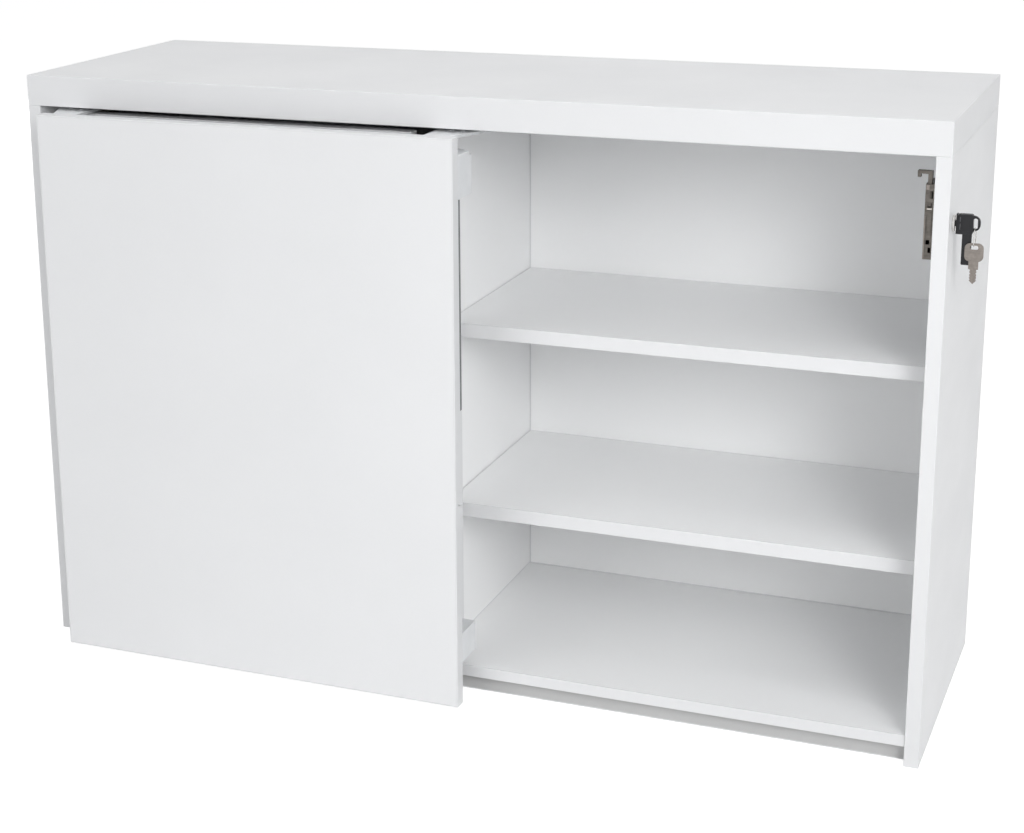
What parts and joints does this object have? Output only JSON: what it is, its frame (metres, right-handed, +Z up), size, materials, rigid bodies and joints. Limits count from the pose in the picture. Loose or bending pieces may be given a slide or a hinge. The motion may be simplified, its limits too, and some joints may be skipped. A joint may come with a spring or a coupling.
{
  "type": "office credenza",
  "caption": "White laminated office credenza with a thick top, open shelves behind top-hung sliding doors, an inset rear door, a proud front door, and a side lock with a folding key.",
  "frame": {"origin": "bottom centre of the bounding box, on the floor", "axes": "+X to the right along the width, +Y towards the back, +Z up; the doors face -Y"},
  "size_m": [1.236, 0.44, 0.785],
  "materials": {
    "white_laminate": "white melamine-faced board with thin white edge bands, satin",
    "white_plastic": "white moulded nylon, satin",
    "black_plastic": "black moulded plastic, fine satin",
    "aluminium": "natural anodised extrusion",
    "nickel": "nickel-plated steel, satin"
  },
  "bodies": {
    "carcass": {"top_panel": "white_laminate", "left_side_panel": "white_laminate", "right_side_panel": "white_laminate", "bottom_panel": "white_laminate", "centre_divider": "white_laminate", "left_back_panel": "white_laminate", "right_back_panel": "white_laminate", "front_plinth": "white_laminate", "rear_plinth": "white_laminate", "plinth_brace": "white_laminate", "left_upper_shelf": "white_laminate", "right_upper_shelf": "white_laminate", "left_lower_shelf": "white_laminate", "right_lower_shelf": "white_laminate", "left_upper_front_pin": "nickel", "left_upper_back_pin": "nickel", "left_lower_front_pin": "nickel", "left_lower_back_pin": "nickel", "centre_upper_front_pin": "nickel", "centre_upper_back_pin": "nickel", "centre_lower_front_pin": "nickel", "centre_lower_back_pin": "nickel", "right_upper_front_pin": "nickel", "right_upper_back_pin": "nickel", "right_lower_front_pin": "nickel", "right_lower_back_pin": "nickel", "top_track": "aluminium", "lower_guide_rail": "aluminium", "rear_door_guide": "white_plastic", "lock_case": "nickel", "lock_screw_lower": "nickel", "lock_screw_upper": "nickel", "lock_cylinder": "nickel"},
    "front_door": {"front_door_panel": "white_laminate", "keeper_block": "white_plastic", "spacer_block": "white_plastic", "front_hanger_bracket_left": "white_plastic", "front_hanger_bracket_right": "white_plastic", "front_hanger_arm_left": "nickel", "front_hanger_arm_right": "nickel", "lower_guide_left": "nickel", "lower_guide_right": "nickel"},
    "rear_door": {"rear_door_panel": "white_laminate", "rear_hanger_left": "nickel", "rear_hanger_right": "nickel"},
    "front_roller_left_wheel": {"front_roller_left": "white_plastic"},
    "front_roller_right_wheel": {"front_roller_right": "white_plastic"},
    "rear_roller_left_wheel": {"rear_roller_left": "white_plastic"},
    "rear_roller_right_wheel": {"rear_roller_right": "white_plastic"},
    "hook": {"hook_bolt": "nickel"},
    "key": {"lock_plug": "nickel", "key_base": "black_plastic", "key_pivot_pin": "nickel"},
    "bow": {"key_bow": "black_plastic"},
    "spare": {"key_ring": "nickel", "spare_key": "nickel"}
  },
  "joints": [
    {"name": "front_door_slide", "type": "slide", "parent": "carcass", "child": "front_door", "axis": [1, 0, 0], "range_m": [0, 0.546]},
    {"name": "rear_door_slide", "type": "slide", "parent": "carcass", "child": "rear_door", "axis": [1, 0, 0], "range_m": [0, 0.56]},
    {"name": "front_roller_left_spin", "type": "hinge", "parent": "front_door", "child": "front_roller_left_wheel", "pos_m": [-0.544, -0.08325, 0.7376], "axis": [0, 1, 0], "continuous": true},
    {"name": "front_roller_right_spin", "type": "hinge", "parent": "front_door", "child": "front_roller_right_wheel", "pos_m": [-0.024, -0.08325, 0.7376], "axis": [0, 1, 0], "continuous": true},
    {"name": "rear_roller_left_spin", "type": "hinge", "parent": "rear_door", "child": "rear_roller_left_wheel", "pos_m": [-0.568, -0.04925, 0.7356], "axis": [0, 1, 0], "continuous": true},
    {"name": "rear_roller_right_spin", "type": "hinge", "parent": "rear_door", "child": "rear_roller_right_wheel", "pos_m": [-0.048, -0.04925, 0.7356], "axis": [0, 1, 0], "continuous": true},
    {"name": "key_turn", "type": "hinge", "parent": "carcass", "child": "key", "pos_m": [0.582, -0.14, 0.665], "axis": [-1, 0, 0], "range_deg": [0, 90]},
    {"name": "hook_drop", "type": "slide", "parent": "carcass", "child": "hook", "axis": [0, 0, -1], "range_m": [0, 0.009]},
    {"name": "key_fold", "type": "hinge", "parent": "key", "child": "bow", "pos_m": [0.592, -0.14, 0.665], "axis": [0, 0, 1], "range_deg": [0, 90]},
    {"name": "spare_key_swing", "type": "hinge", "parent": "bow", "child": "spare", "pos_m": [0.6075, -0.142, 0.66155], "axis": [0, -1, 0], "range_deg": [-6, 60]}
  ],
  "couplings": [
    {"joint": "front_roller_left_spin", "follows": "front_door_slide", "rad_per_m": 232.56},
    {"joint": "front_roller_right_spin", "follows": "front_door_slide", "rad_per_m": 232.56},
    {"joint": "rear_roller_left_spin", "follows": "rear_door_slide", "rad_per_m": 232.56},
    {"joint": "rear_roller_right_spin", "follows": "rear_door_slide", "rad_per_m": 232.56},
    {"joint": "hook_drop", "follows": "key_turn", "m_per_rad": 0.0057295}
  ]
}
